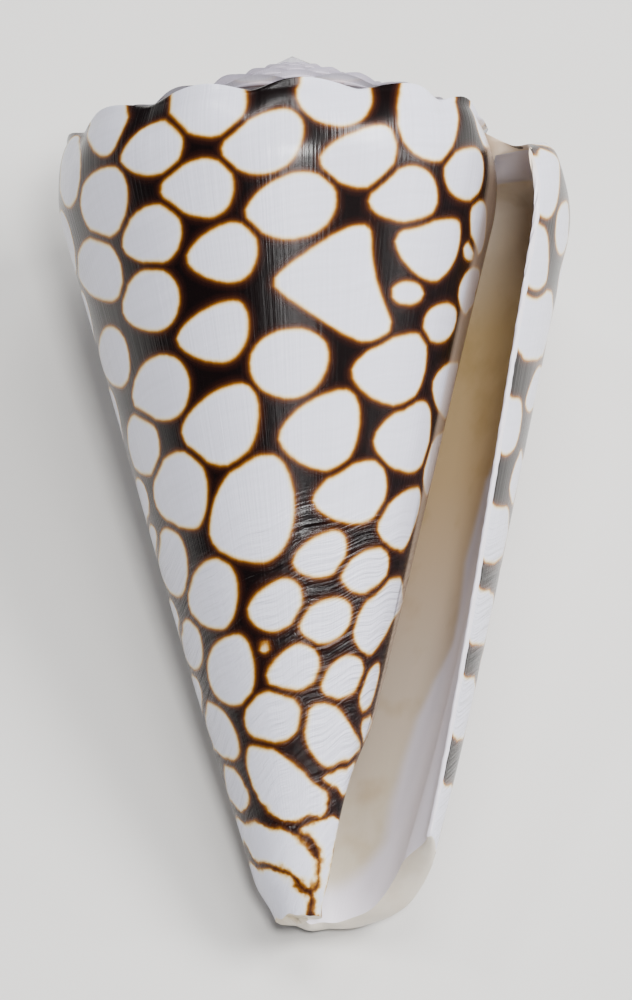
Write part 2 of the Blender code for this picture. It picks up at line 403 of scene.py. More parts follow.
    def edges(self, lining: Sheet) -> tuple[Sheet, Sheet]:
        """The rounded edges: down the lip, and round the front end.

        Args:
            lining: The inside of the mouth.

        Returns:
            The lip's edge and the front end's edge.
        """
        steps = self.steps
        outside = self.outside.points
        share = (np.arange(steps.edge + 1) / steps.edge)[:, None]
        bulge = np.sqrt(np.maximum(1.0 - (2.0 * share - 1.0) ** 2, 0.0))
        growing = outside[0] - outside[1]
        growing /= np.linalg.norm(growing, axis=-1, keepdims=True)
        downward = np.array([0.0, -1.0, 0.0])
        corner = smooth((np.arange(steps.base + 1) - steps.base + 8) / 8.0)[:, None]
        way = growing * (1.0 - 0.5 * corner) + downward * 0.5 * corner
        thick = np.linalg.norm(outside[0] - lining.points[0], axis=-1)[:, None]
        thick = np.minimum(thick, 1.0) * smooth(np.arange(steps.base + 1)[:, None] / 4.0)
        lip = []
        for part, swell in zip(share, bulge):
            lip.append(outside[0] * (1.0 - part) + lining.points[0] * part + way * 0.38 * swell * thick)
        lip_points = np.stack(lip)
        lip_points[:, 0] = outside[steps.meet, steps.ramp_rows : steps.ramp_rows + steps.edge + 1]
        rim = []
        outer_rim = outside[: steps.cavity + 1, steps.base]
        inner_rim = lining.points[:, steps.base]
        blend = smooth(1.0 - np.arange(steps.cavity + 1) / 8.0)[:, None]
        way = growing[-1] * 0.5 * blend + downward * (1.0 - 0.5 * blend)
        thick = np.minimum(np.linalg.norm(outer_rim - inner_rim, axis=-1), 1.0)[:, None]
        for part, swell in zip(share, bulge):
            rim.append(outer_rim * (1.0 - part) + inner_rim * part + way * 0.38 * swell * thick)
        rim_points = np.stack(rim, axis=1)
        lip_turn = np.zeros(lip_points.shape[:2])
        rim_turn = np.repeat(self.turns[: steps.cavity + 1, None], steps.edge + 1, axis=1)
        lip_sheet = Sheet("lip_edge", lip_points, lip_turn, -lip_points[..., 1])
        return lip_sheet, Sheet("front_edge", rim_points, rim_turn, -rim_points[..., 1])

    def back_wall(self, lining: Sheet) -> Sheet:
        """Closes the mouth's hollow where it ends, out of sight.

        Args:
            lining: The inside of the mouth.

        Returns:
            The closing wall.
        """
        steps = self.steps
        rows = np.maximum(np.arange(steps.base + 1), steps.ramp_rows + steps.edge)
        points = np.stack([lining.points[-1], self.outside.points[steps.deep, rows]])
        return Sheet("back_wall", points, np.ones(points.shape[:2]), -points[..., 1])


def catmull_rom(nodes: np.ndarray, spot: float) -> np.ndarray:
    """A smooth curve through nodes.

    Args:
        nodes: The nodes, first axis along the curve.
        spot: Place on the curve, where 0 is the first node and 1 the second.

    Returns:
        The point there.
    """
    last = len(nodes) - 1
    start = min(int(spot), last - 1)
    part = spot - start
    before = nodes[max(start - 1, 0)]
    first = nodes[start]
    second = nodes[start + 1]
    after = nodes[min(start + 2, last)]
    slope = second - before
    bend = 2.0 * before - 5.0 * first + 4.0 * second - after
    twist = 3.0 * (first - second) + after - before
    return first + 0.5 * part * (slope + part * (bend + part * twist))


@dataclass(frozen=True)
class PhotoView:
    """Where the photograph was taken from, in the shell's own axes, and where the shell stands in its frame."""

    frame: tuple[int, int] = (632, 1000)
    distance: float = 600.0
    aim_depth: float = 40.0
    below_square: float = math.radians(11.5)
    roll: float = math.radians(1.17)
    aim_x: float = 300.9
    aim_y: float = 482.7
    pixels_per_mm: float = 10.96

    @property
    def away(self) -> np.ndarray:
        """Direction from the shell to the camera."""
        return np.array([0.0, -math.sin(self.below_square), math.cos(self.below_square)])

    @property
    def up(self) -> np.ndarray:
        """The picture's up before its roll."""
        return np.array([0.0, math.cos(self.below_square), math.sin(self.below_square)])

    def project(self, points: np.ndarray) -> np.ndarray:
        """Where points fall in the photograph.

        Args:
            points: Points in the shell's own axes, in millimetres.

        Returns:
            Pixels across and down.
        """
        seen = points - np.array([0.0, -self.aim_depth, 0.0])
        nearer = seen @ self.away
        scale = self.pixels_per_mm * self.distance / (self.distance - nearer)
        across = seen[..., 0] * scale
        high = (seen @ self.up) * scale
        cos, sin = math.cos(self.roll), math.sin(self.roll)
        return np.stack([self.aim_x + across * cos - high * sin, self.aim_y - across * sin - high * cos], axis=-1)


class TentForm(Enum):
    """How square a tent's four quarters are: upper left, upper right, lower right, lower left.

    1 is a straight line, 2 a round arc, and more is squarer.
    """

    DROP = (1.55, 2.15, 2.1, 1.75)
    OVAL = (2.0, 2.05, 2.0, 2.1)
    WING = (1.2, 1.05, 2.2, 1.25)
    WEDGE = (1.6, 2.2, 1.3, 1.7)
    LEAF = (2.2, 1.6, 2.3, 1.8)
    BLOCK = (3.2, 3.1, 3.0, 3.3)
    CREST = (4.0, 4.1, 1.9, 2.01)
    LIP = (4.2, 2.4, 2.3, 4.1)


@dataclass(frozen=True)
class Tent:
    """A white tent: its box, and where its outline touches the box's four sides.

    The box is in pixels of the photograph, or in millimetres about its own place for a tent that the
    photograph doesn't show. The tip touches the left and the back the right, as shares of the height
    from the top. The peak touches the top and the foot the bottom, as shares of the width from the left.
    """

    left: float
    right: float
    top: float
    bottom: float
    form: TentForm = TentForm.DROP
    tip: float = 0.6
    back: float = 0.4
    peak: float = 0.65
    foot: float = 0.5
    faint: float = -9.0

    def outline(self) -> list[tuple[float, float]]:
        """Goes once round the tent.

        Returns:
            Points of its outline, from the tip over the peak, the back and the foot.
        """
        wide, high = self.right - self.left, self.bottom - self.top
        tip = (self.left, self.top + self.tip * high)
        back = (self.right, self.top + self.back * high)
        peak = (self.left + self.peak * wide, self.top)
        foot = (self.left + self.foot * wide, self.bottom)
        quarters = [(tip, peak, False), (back, peak, True), (back, foot, False), (tip, foot, True)]
        points = []
        for (side, end, turned), square in zip(quarters, self.form.value):
            arc = []
            for step in range(6):
                angle = 0.5 * math.pi * (step + 0.5) / 6
                across = math.cos(angle) ** (2.0 / square)
                along = math.sin(angle) ** (2.0 / square)
                arc.append((end[0] + (side[0] - end[0]) * across, side[1] + (end[1] - side[1]) * along))
            points += arc[::-1] if turned else arc
        return points


@dataclass(frozen=True)
class Patch:
    """A white tent of an odd shape, by the corners of its outline in pixels of the photograph."""

    corners: tuple[tuple[float, float], ...]
    form: TentForm = TentForm.OVAL
    faint: float = -9.0

    def outline(self) -> list[tuple[float, float]]:
        """Rounds the corners off.

        Returns:
            Points of a closed curve close to the corners.
        """
        corners = np.array(self.corners)
        before, after = np.roll(corners, 1, axis=0), np.roll(corners, -1, axis=0)
        first = 0.84 * corners + 0.16 * before
        second = 0.84 * corners + 0.16 * after
        return [tuple(point) for point in np.stack([first, second], axis=1).reshape(-1, 2)]


@dataclass(frozen=True)
class LaidTent:
    """A tent laid on the coil: its middle turn, its outline as (turn, way along in mm), and how faint it is."""

    turn: float
    outline: list[tuple[float, float]]
    faint: float = -9.0


@dataclass(frozen=True)
class SideTent:
    """A white tent that goes round the left side out of sight: where its right end shows, in pixels."""

    across: float
    middle: float
    height: float


SIDE_TENTS: tuple[SideTent, ...] = (
    SideTent(68, 240, 66),
    SideTent(88, 318, 54),
    SideTent(117, 415, 56),
    SideTent(142, 500, 46),
    SideTent(153, 541, 34),
    SideTent(173, 625, 48),
    SideTent(197, 696, 38),
)

FRONT_TENTS: tuple[Tent, ...] = (
    Tent(60, 81, 135, 208, TentForm.LEAF, tip=0.7, back=0.3, peak=0.85, foot=0.4),
    Tent(120, 183, 120, 176, tip=0.7, back=0.4, peak=0.68, foot=0.45),
    Tent(169, 247, 86, 137, TentForm.CREST, tip=0.45, back=0.3, peak=0.5, foot=0.52),
    Tent(221, 304, 108, 175, tip=0.62, back=0.3, peak=0.73, foot=0.46),
    Tent(296, 373, 80, 127, TentForm.CREST, tip=0.3, back=0.35, peak=0.5, foot=0.64),
    Tent(319, 397, 124, 188, tip=0.55, back=0.35, peak=0.8, foot=0.55),
    Tent(397, 459, 84, 162, TentForm.CREST, tip=0.46, back=0.35, peak=0.5, foot=0.67),
    Tent(368, 438, 165, 223, tip=0.65, back=0.55, peak=0.62, foot=0.6),
    Tent(444, 484, 147, 201, TentForm.OVAL, tip=0.45, back=0.4, peak=0.75, foot=0.62),
    Tent(80, 128, 166, 238, TentForm.OVAL, tip=0.46, back=0.4, peak=0.67, foot=0.56),
    Tent(160, 234, 158, 218, tip=0.52, back=0.45, peak=0.6, foot=0.64),
    Tent(245, 337, 171, 240, tip=0.6, back=0.4, peak=0.6, foot=0.46),
    Tent(122, 182, 204, 264, TentForm.OVAL, tip=0.68, back=0.45, peak=0.6, foot=0.6),
    Tent(186, 258, 222, 283, tip=0.6, back=0.42, peak=0.65, foot=0.62),
    Tent(391, 424, 281, 305, TentForm.OVAL, tip=0.5, back=0.5, peak=0.52, foot=0.52),
    Tent(77, 123, 237, 302, TentForm.OVAL, tip=0.4, back=0.68, peak=0.33, foot=0.75),
    Tent(122, 180, 268, 332, TentForm.OVAL, tip=0.62, back=0.47, peak=0.53, foot=0.58),
    Tent(176, 249, 300, 363, tip=0.62, back=0.38, peak=0.8, foot=0.6),
    Tent(249, 329, 328, 399, TentForm.OVAL, tip=0.5, back=0.36, peak=0.58, foot=0.52),
    Tent(423, 457, 303, 343, TentForm.OVAL, tip=0.55, back=0.28, peak=0.68, foot=0.45),
    Tent(351, 427, 333, 406, tip=0.53, back=0.22, peak=0.83, foot=0.62),
    Tent(99, 130, 325, 388, TentForm.OVAL, tip=0.33, back=0.68, peak=0.35, foot=0.7),
    Tent(132, 190, 354, 421, TentForm.OVAL, tip=0.65, back=0.48, peak=0.54, foot=0.6),
    Tent(181, 259, 383, 466, tip=0.57, back=0.33, peak=0.75, foot=0.56),
    Tent(278, 360, 389, 471, tip=0.58, back=0.32, peak=0.8, foot=0.6),
    Tent(373, 431, 401, 473, tip=0.55, back=0.24, peak=0.86, foot=0.66),
    Tent(127, 160, 414, 476, TentForm.OVAL, tip=0.25, back=0.53, peak=0.25, foot=0.65),
    Tent(153, 208, 451, 530, TentForm.OVAL, tip=0.5, back=0.5, peak=0.5, foot=0.74),
    Tent(209, 295, 454, 563, TentForm.OVAL, tip=0.7, back=0.5, peak=0.7, foot=0.6),
    Tent(312, 387, 460, 524, tip=0.63, back=0.38, peak=0.78, foot=0.6),
    Tent(377, 421, 487, 551, TentForm.WEDGE, tip=0.62, back=0.2, peak=0.93, foot=0.58),
    Tent(157, 188, 527, 597, TentForm.OVAL, tip=0.35, back=0.6, peak=0.3, foot=0.72),
    Tent(188, 238, 558, 630, TentForm.OVAL, tip=0.58, back=0.45, peak=0.54, foot=0.66),
    Tent(292, 347, 530, 578, tip=0.67, back=0.35, peak=0.78, foot=0.45),
    Tent(340, 389, 547, 594, tip=0.6, back=0.3, peak=0.78, foot=0.45),
    Tent(247, 303, 578, 632, tip=0.6, back=0.36, peak=0.68, foot=0.4),
    Tent(298, 352, 597, 644, tip=0.55, back=0.3, peak=0.68, foot=0.4),
    Tent(353, 403, 577, 655, TentForm.WEDGE, tip=0.74, back=0.14, peak=0.92, foot=0.35),
    Tent(181, 203, 619, 670, TentForm.OVAL, tip=0.3, back=0.68, peak=0.25, foot=0.65),
    Tent(207, 255, 634, 706, TentForm.OVAL, tip=0.45, back=0.58, peak=0.62, foot=0.57),
    Tent(266, 320, 643, 692, tip=0.7, back=0.45, peak=0.64, foot=0.44),
    Tent(320, 364, 655, 699, tip=0.68, back=0.28, peak=0.64, foot=0.36),
    Tent(359, 380, 663, 714, TentForm.WEDGE, tip=0.75, back=0.1, peak=0.9, foot=0.35),
    Tent(206, 240, 701, 761, TentForm.LEAF, tip=0.2, back=0.8, peak=0.06, foot=0.72),
    Tent(244, 302, 691, 743, TentForm.OVAL, tip=0.55, back=0.5, peak=0.5, foot=0.48),
    Tent(224, 249, 764, 811, TentForm.LEAF, tip=0.1, back=0.76, peak=0.06, foot=0.76),
    Tent(470, 487, 200, 256, TentForm.OVAL, tip=0.3, back=0.2, peak=0.6, foot=0.45),
    Tent(463, 476, 242, 261, TentForm.OVAL, tip=0.5, back=0.5, peak=0.5, foot=0.5),
    Tent(458, 480, 266, 316, TentForm.WEDGE, tip=0.55, back=0.1, peak=0.75, foot=0.35),
    Tent(432, 459, 360, 420, TentForm.WEDGE, tip=0.42, back=0.06, peak=0.9, foot=0.55),
    Tent(423, 446, 428, 500, TentForm.WEDGE, tip=0.72, back=0.06, peak=0.92, foot=0.25),
    Tent(536, 560, 147, 220, TentForm.LIP, tip=0.5, back=0.35, peak=0.4, foot=0.35),
    Tent(555, 569, 200, 256, TentForm.OVAL, tip=0.6, back=0.3, peak=0.8, foot=0.4),
    Tent(528, 549, 222, 298, TentForm.LIP, tip=0.5, back=0.4, peak=0.5, foot=0.35),
    Tent(520, 553, 290, 362, TentForm.LIP, tip=0.5, back=0.15, peak=0.9, foot=0.35),
    Tent(525, 542, 362, 412, TentForm.WING, tip=0.8, back=0.1, peak=0.9, foot=0.1),
    Tent(496, 522, 397, 456, TentForm.LIP, tip=0.5, back=0.12, peak=0.75, foot=0.3),
    Tent(509, 523, 448, 505, TentForm.WING, tip=0.7, back=0.1, peak=0.9, foot=0.2),
    Tent(482, 509, 505, 564, TentForm.LIP, tip=0.5, back=0.1, peak=0.8, foot=0.35),
    Tent(468, 494, 590, 645, TentForm.LIP, tip=0.5, back=0.1, peak=0.8, foot=0.35),
    Tent(452, 476, 676, 740, TentForm.LIP, tip=0.5, back=0.1, peak=0.8, foot=0.35),
    Tent(428, 458, 782, 852, TentForm.LIP, tip=0.5, back=0.1, peak=0.8, foot=0.35),
    Tent(259, 270, 642, 653, TentForm.OVAL, faint=-0.25),
)

FRONT_PATCHES: tuple[Patch, ...] = (
    Patch(
        ((86, 120), (88, 109), (96, 106), (110, 106), (125, 111), (129, 117))
        + ((122, 132), (115, 148), (109, 156), (101, 157), (93, 151), (87, 138)),
        TentForm.CREST,
    ),
    Patch(
        ((394, 243), (399, 232), (412, 226), (430, 221), (450, 218), (460, 221), (461, 236))
        + ((457, 256), (449, 271), (438, 281), (428, 281), (415, 274), (402, 260)),
    ),
    Patch(
        ((366, 224), (372, 232), (372, 254), (376, 278), (384, 303), (392, 321), (389, 333))
        + ((378, 341), (360, 342), (343, 334), (324, 322), (304, 309), (284, 296), (272, 284))
        + ((276, 275), (290, 263), (310, 249), (330, 236), (350, 226)),
    ),
    Patch(
        ((304, 725), (306, 712), (315, 704), (328, 702), (338, 708), (347, 720), (355, 733))
        + ((362, 746), (357, 757), (345, 764), (331, 769), (319, 763), (309, 750), (305, 738)),
    ),
    Patch(((371, 713), (369, 728), (364, 746), (361, 735), (361, 722), (365, 715))),
    Patch(
        ((246, 757), (248, 746), (259, 744), (272, 749), (287, 758), (300, 769), (311, 781))
        + ((323, 789), (340, 797), (345, 802), (328, 812), (310, 817), (296, 822), (283, 821))
        + ((270, 813), (260, 801), (252, 785), (247, 770)),
    ),
    Patch(((371, 757), (368, 776), (358, 795), (349, 801), (342, 794), (331, 785), (322, 778), (332, 771), (346, 765))),
    Patch(
        ((226, 826), (230, 818), (258, 822), (273, 828), (287, 831), (297, 837), (306, 842), (310, 851))
        + ((316, 861), (320, 868), (318, 880), (310, 888), (301, 883), (291, 874), (277, 869), (263, 865))
        + ((253, 859), (247, 846), (229, 842)),
    ),
    Patch(
        ((299, 830), (308, 824), (318, 821), (346, 820), (342, 850), (338, 880), (332, 925), (320, 925))
        + ((313, 918), (311, 906), (315, 893), (320, 882), (319, 870), (322, 860), (319, 848), (314, 839)),
    ),
    Patch(
        ((456, 98), (463, 94), (472, 96), (480, 103), (487, 120), (492, 133), (494, 148))
        + ((484, 148), (478, 132), (473, 113), (466, 104)),
        TentForm.CREST,
    ),
    Patch(
        ((234, 866), (260, 866), (275, 868), (288, 873), (297, 880), (294, 888), (300, 893), (310, 898))
        + ((309, 908), (306, 918), (296, 928), (268, 930), (254, 914), (246, 898), (238, 882)),
    ),
)

# Where the photograph shows the inner edge of the bevel along the lip, read in pixels
BEVEL_EDGE: tuple[tuple[float, float], ...] = (
    (491, 480),
    (483, 500),
    (468, 560),
    (463, 600),
    (455, 640),
    (440, 680),
    (422, 720),
    (410, 760),
    (400, 800),
    (392, 840),
)


class Markings:
    """Lays the tents on the coil and measures how far each point is from the nearest tent's edge."""

    def __init__(self, form: GrownForm, view: PhotoView) -> None:
        """Keeps the grown form and the view, and finds the part of the outside that the view shows."""
        self.form = form
        self.view = view
        steps = form.steps
        outside = form.outside
        columns = slice(0, int(1.09 * steps.per_turn))
        self.pixels = view.project(outside.points[columns])
        self.turn = outside.turn[columns]
        self.along = outside.along[columns]
        self.across = np.gradient(self.pixels, axis=0)
        self.down = np.gradient(self.pixels, axis=1)
        facing = self.across[..., 0] * self.down[..., 1] - self.across[..., 1] * self.down[..., 0]
        facing = facing * np.sign(facing[int(0.83 * steps.per_turn), steps.base // 2])
        self.seen = (facing > 0.0) & (self.along > -1.2) & ((self.turn < 0.11) | (self.turn > 0.55))
        self.turn_step = np.gradient(self.turn, axis=0)
        self.along_step = np.gradient(self.along, axis=1)

    def locate(self, across: float, down: float, near: float | None = None) -> tuple[float, float]:
        """Finds the place on the coil that the photograph shows at a pixel.

        Args:
            across: Pixels from the left.
            down: Pixels from the top.
            near: A turn that the place is close to, where the coil could show twice.

        Returns:
            The turn, and the way along the profile from the crest in millimetres.
        """
        gap = self.pixels - np.array([across, down])
        reach = np.where(self.seen, (gap**2).sum(axis=-1), 1e9)
        if near is not None:
            reach = np.where((self.turn > near - 0.2) & (self.turn < near + 0.12), reach, 1e9)
        spot = np.unravel_index(int(reach.argmin()), reach.shape)
        jacobian = np.stack([self.across[spot], self.down[spot]], axis=-1)
        shift = -gap[spot]
        if abs(np.linalg.det(jacobian)) < 1.5:
            # A corner placed off the left outline goes on round the side, out of sight
            beyond = max(math.hypot(*gap[spot]) - 5.0, 0.0) if across < self.view.aim_x else 0.0
            return float(self.turn[spot]) - 0.004 * beyond, float(self.along[spot])
        move = np.clip(np.linalg.solve(jacobian, shift), -1.0, 1.0)
        turn = self.turn[spot] + move[0] * self.turn_step[spot]
        return float(turn), float(self.along[spot] + move[1] * self.along_step[spot])

    def radius_at(self, turn: float, along: float) -> float:
        """Radius of the coil's outside at a turn and a way along the profile."""
        outside = self.form.outside
        column = int(np.clip(round(turn * self.form.steps.per_turn), 0, self.form.steps.last))
        return float(np.interp(along, outside.along[column], outside.values["radius"][column]))

    def front(self) -> Iterator[LaidTent]:
        """Gives the tents that the photograph shows, laid on the coil."""
        for tent in FRONT_TENTS + FRONT_PATCHES:
            corners = tent.outline()
            middle = float(np.median([self.locate(*corner)[0] for corner in corners]))
            spots = [self.locate(*corner, near=middle) for corner in corners]
            if tent.form is TentForm.CREST:
                spots = [(turn, along if along > 1.3 else -1.6) for turn, along in spots]
            if tent.form is TentForm.LIP:
                spots = [(turn if turn > 0.006 else -0.02, along) for turn, along in spots]
            yield LaidTent(sum(spot[0] for spot in spots) / len(spots), spots, tent.faint)
        for side in SIDE_TENTS:
            edge, along = self.locate(side.across, side.middle)
            high = 0.5 * side.height / self.view.pixels_per_mm
            yield self.lay(edge, along, Tent(-4.2, 2.8, -high, high, TentForm.OVAL))

    def lay(self, turn: float, along: float, tent: Tent) -> LaidTent:
        """Lays a tent whose box is in millimetres about its own place.

        Args:
            turn: The turn that the box's zero lies on.
            along: The way along the profile that it lies on.
            tent: The tent.

        Returns:
            The tent laid on the coil.
        """
        per_turn = 2.0 * math.pi * max(self.radius_at(turn, along), 0.5)
        spots = [(turn + across / per_turn, along + down) for across, down in tent.outline()]
        return LaidTent(turn + 0.5 * (tent.left + tent.right) / per_turn, spots)

    def gap_at(self, turn: float, along: float) -> float:
        """Distance from a place on the coil to the nearest tent laid so far."""
        outside = self.form.outside
        column = int(np.clip(round(turn * self.form.steps.per_turn), 0, self.form.steps.last))
        row = int(np.searchsorted(outside.along[column], along))
        return float(self.layers[:, column, min(row, self.form.steps.base)].min())

    def shows(self, turn: float, along: float) -> bool:
        """Whether the photograph shows a place on the coil."""
        column = int(np.clip(round(turn * self.form.steps.per_turn), 0, len(self.seen) - 1))
        row = int(np.searchsorted(self.along[column], along))
        return bool(self.seen[column, min(row, self.form.steps.base)])

    def hidden(self) -> Iterator[LaidTent]:
        """Fills the side that the photograph hides with tents of the same sizes, row by row.

        Small tents then go where a wide piece of net is left.

        Yields:
            The tents, laid on the coil.
        """
        chance = np.random.default_rng(11)
        along = 5.4
        row = 0
        while along < 74.0:
            share = min(along / 60.0, 1.0)
            height = 6.6 - 2.0 * share
            turn = 0.012 + 0.022 * (row % 2)
            while turn < 0.64:
                per_turn = 2.0 * math.pi * max(self.radius_at(turn, along), 1.0)
                wide = 0.5 * (8.0 - 2.8 * share) * chance.uniform(0.82, 1.15)
                high = 0.5 * height * chance.uniform(0.86, 1.12)
                form = TentForm.DROP if chance.uniform() < 0.65 else TentForm.OVAL
                tip, back = chance.uniform(0.45, 0.7), chance.uniform(0.3, 0.5)
                tent = Tent(-wide, wide, -high, high, form, tip, back, chance.uniform(0.55, 0.8))
                laid = self.lay(turn, along + chance.uniform(-0.5, 0.5), tent)
                clear = min(self.gap_at(*spot) for spot in laid.outline) > 0.25 and self.gap_at(turn, along) > 1.0
                if clear and not self.shows(turn, along):
                    yield laid
                    turn += (2.0 * wide + chance.uniform(0.6, 1.0)) / per_turn
                else:
                    turn += 1.2 / per_turn
            along += height + 0.45
            row += 1
        for _ in range(1600):
            turn, along = chance.uniform(0.012, 0.66), chance.uniform(4.0, 74.0)
            room = min(self.gap_at(turn, along) - 0.55, 2.6)
            if room > 0.75 and not self.shows(turn, along):
                yield self.lay(turn, along, Tent(-1.15 * room, 1.1 * room, -room, room))

    def crest(self) -> Iterator[LaidTent]:
        """Gives the tents on the ramp, two for each knob of every coil."""
        shape = self.form.shape
        chance = np.random.default_rng(5)
        for count in range(-8, 84):
            turn = float(np.interp(count, shape.knob_counts, shape.knob_turns))
            turn += min(count, 0) / shape.knobs_per_turn
            turn += max(count - shape.knob_counts[-1], 0) / shape.knobs_per_turn
            size = shape.growth_per_turn**-turn
            wide = 3.9 * size * chance.uniform(0.85, 1.08)
            if not 0.57 < turn < 1.03:
                yield self.lay(turn, 0.0, Tent(-wide, wide, -2.6 * size, 1.9 * size, TentForm.OVAL))
            inner = Tent(-0.9 * wide, 0.9 * wide, -6.3 * size, -3.1 * size, TentForm.OVAL)
            yield self.lay(turn + 0.04, 0.0, inner)

    def add(self, tent: LaidTent) -> None:
        """Measures one tent on the layer that has its nearest neighbour farthest away.

        Neighbours on different layers keep the net line between them sharp, however fine it is.

        Args:
            tent: The tent, laid on the coil.
        """
        outside = self.form.outside
        turn, along = outside.turn, outside.along
        alongs = [spot[1] for spot in tent.outline]
        spread = max(abs(spot[0] - tent.turn) for spot in tent.outline)
        close = (along > min(alongs) - 3.0) & (along < max(alongs) + 3.0)
        close &= np.abs(turn - tent.turn) < spread + 3.0 / self.around
        if not close.any():
            return
        here = np.stack([(turn[close] - tent.turn) * self.around[close], along[close]], axis=-1)
        corners = []
        for spot_turn, spot_along in tent.outline:
            arc = 2.0 * math.pi * self.radius_at(spot_turn, spot_along)
            corners.append(((spot_turn - tent.turn) * arc, spot_along))
        away = np.maximum(outline_distance(here, np.array(corners)), tent.faint)
        gaps = [(np.abs(away) + np.abs(layer[close])).min() for layer in self.layers]
        layer = self.layers[int(np.argmax(gaps))]
        layer[close] = np.minimum(layer[close], away)

    def measure(self) -> dict[str, np.ndarray]:
        """Measures the tents' edges.

        Returns:
            For each layer, the signed distance from its nearest edge in mm, negative inside a tent, plus
            LAYER_SHIFT, so that a face that closes a hole and has none of its own is white.
        """
        outside = self.form.outside
        self.around = 2.0 * math.pi * np.maximum(outside.values["radius"], 0.3)
        self.layers = np.full((len(TENT_LAYERS), *outside.turn.shape), 3.0)
        count = 0
        for source in (self.front(), self.crest(), self.hidden()):
            for tent in source:
                self.add(tent)
                count += 1
        LOG.info("tents laid: %d", count)
        return dict(zip(TENT_LAYERS, self.layers + LAYER_SHIFT))


def outline_distance(points: np.ndarray, corners: np.ndarray) -> np.ndarray:
    """Signed distance from a closed outline.

    Args:
        points: The points, one in each row.
        corners: The outline's corners in order.

    Returns:
        The distance of each point, negative inside.
    """
    best = np.full(len(points), 1e9)
    inside = np.zeros(len(points), bool)
    for start, end in zip(corners, np.roll(corners, -1, axis=0)):
        edge = end - start
        offset = points - start
        share = np.clip((offset @ edge) / max(edge @ edge, 1e-12), 0.0, 1.0)
        best = np.minimum(best, np.linalg.norm(offset - share[:, None] * edge, axis=-1))
        crosses = (start[1] > points[:, 1]) != (end[1] > points[:, 1])
        rise = edge[1] if abs(edge[1]) > 1e-9 else 1e-9
        inside ^= crosses & (offset[:, 0] < edge[0] * offset[:, 1] / rise)
    return np.where(inside, -best, best)


@dataclass(frozen=True)
class Stance:
    """How the shell lies: turned about its own axis, spire end lifted, on a small worn flat. Lengths in mm."""

    roll: float = math.radians(-1.2)
    pitch: float = math.radians(14.3)
    worn: float = 0.2

    @property
    def turning(self) -> np.ndarray:
        """The rotation from the shell's own axes to the way it lies."""
        lift = Matrix.Rotation(self.pitch, 3, "X") @ Matrix.Rotation(self.roll, 3, "Y")
        return np.array(lift)

    def shift(self, outside: Sheet) -> np.ndarray:
        """The move that puts the shell on the floor, over the frame's origin.

        Args:
            outside: The outside in the shell's own axes.

        Returns:
            The move in millimetres, after the rotation.
        """
        turned = outside.points.reshape(-1, 3) @ self.turning.T
        low, high = turned.min(axis=0), turned.max(axis=0)
        return np.array([-(low[0] + high[0]) / 2, -(low[1] + high[1]) / 2, -(low[2] + self.worn)])


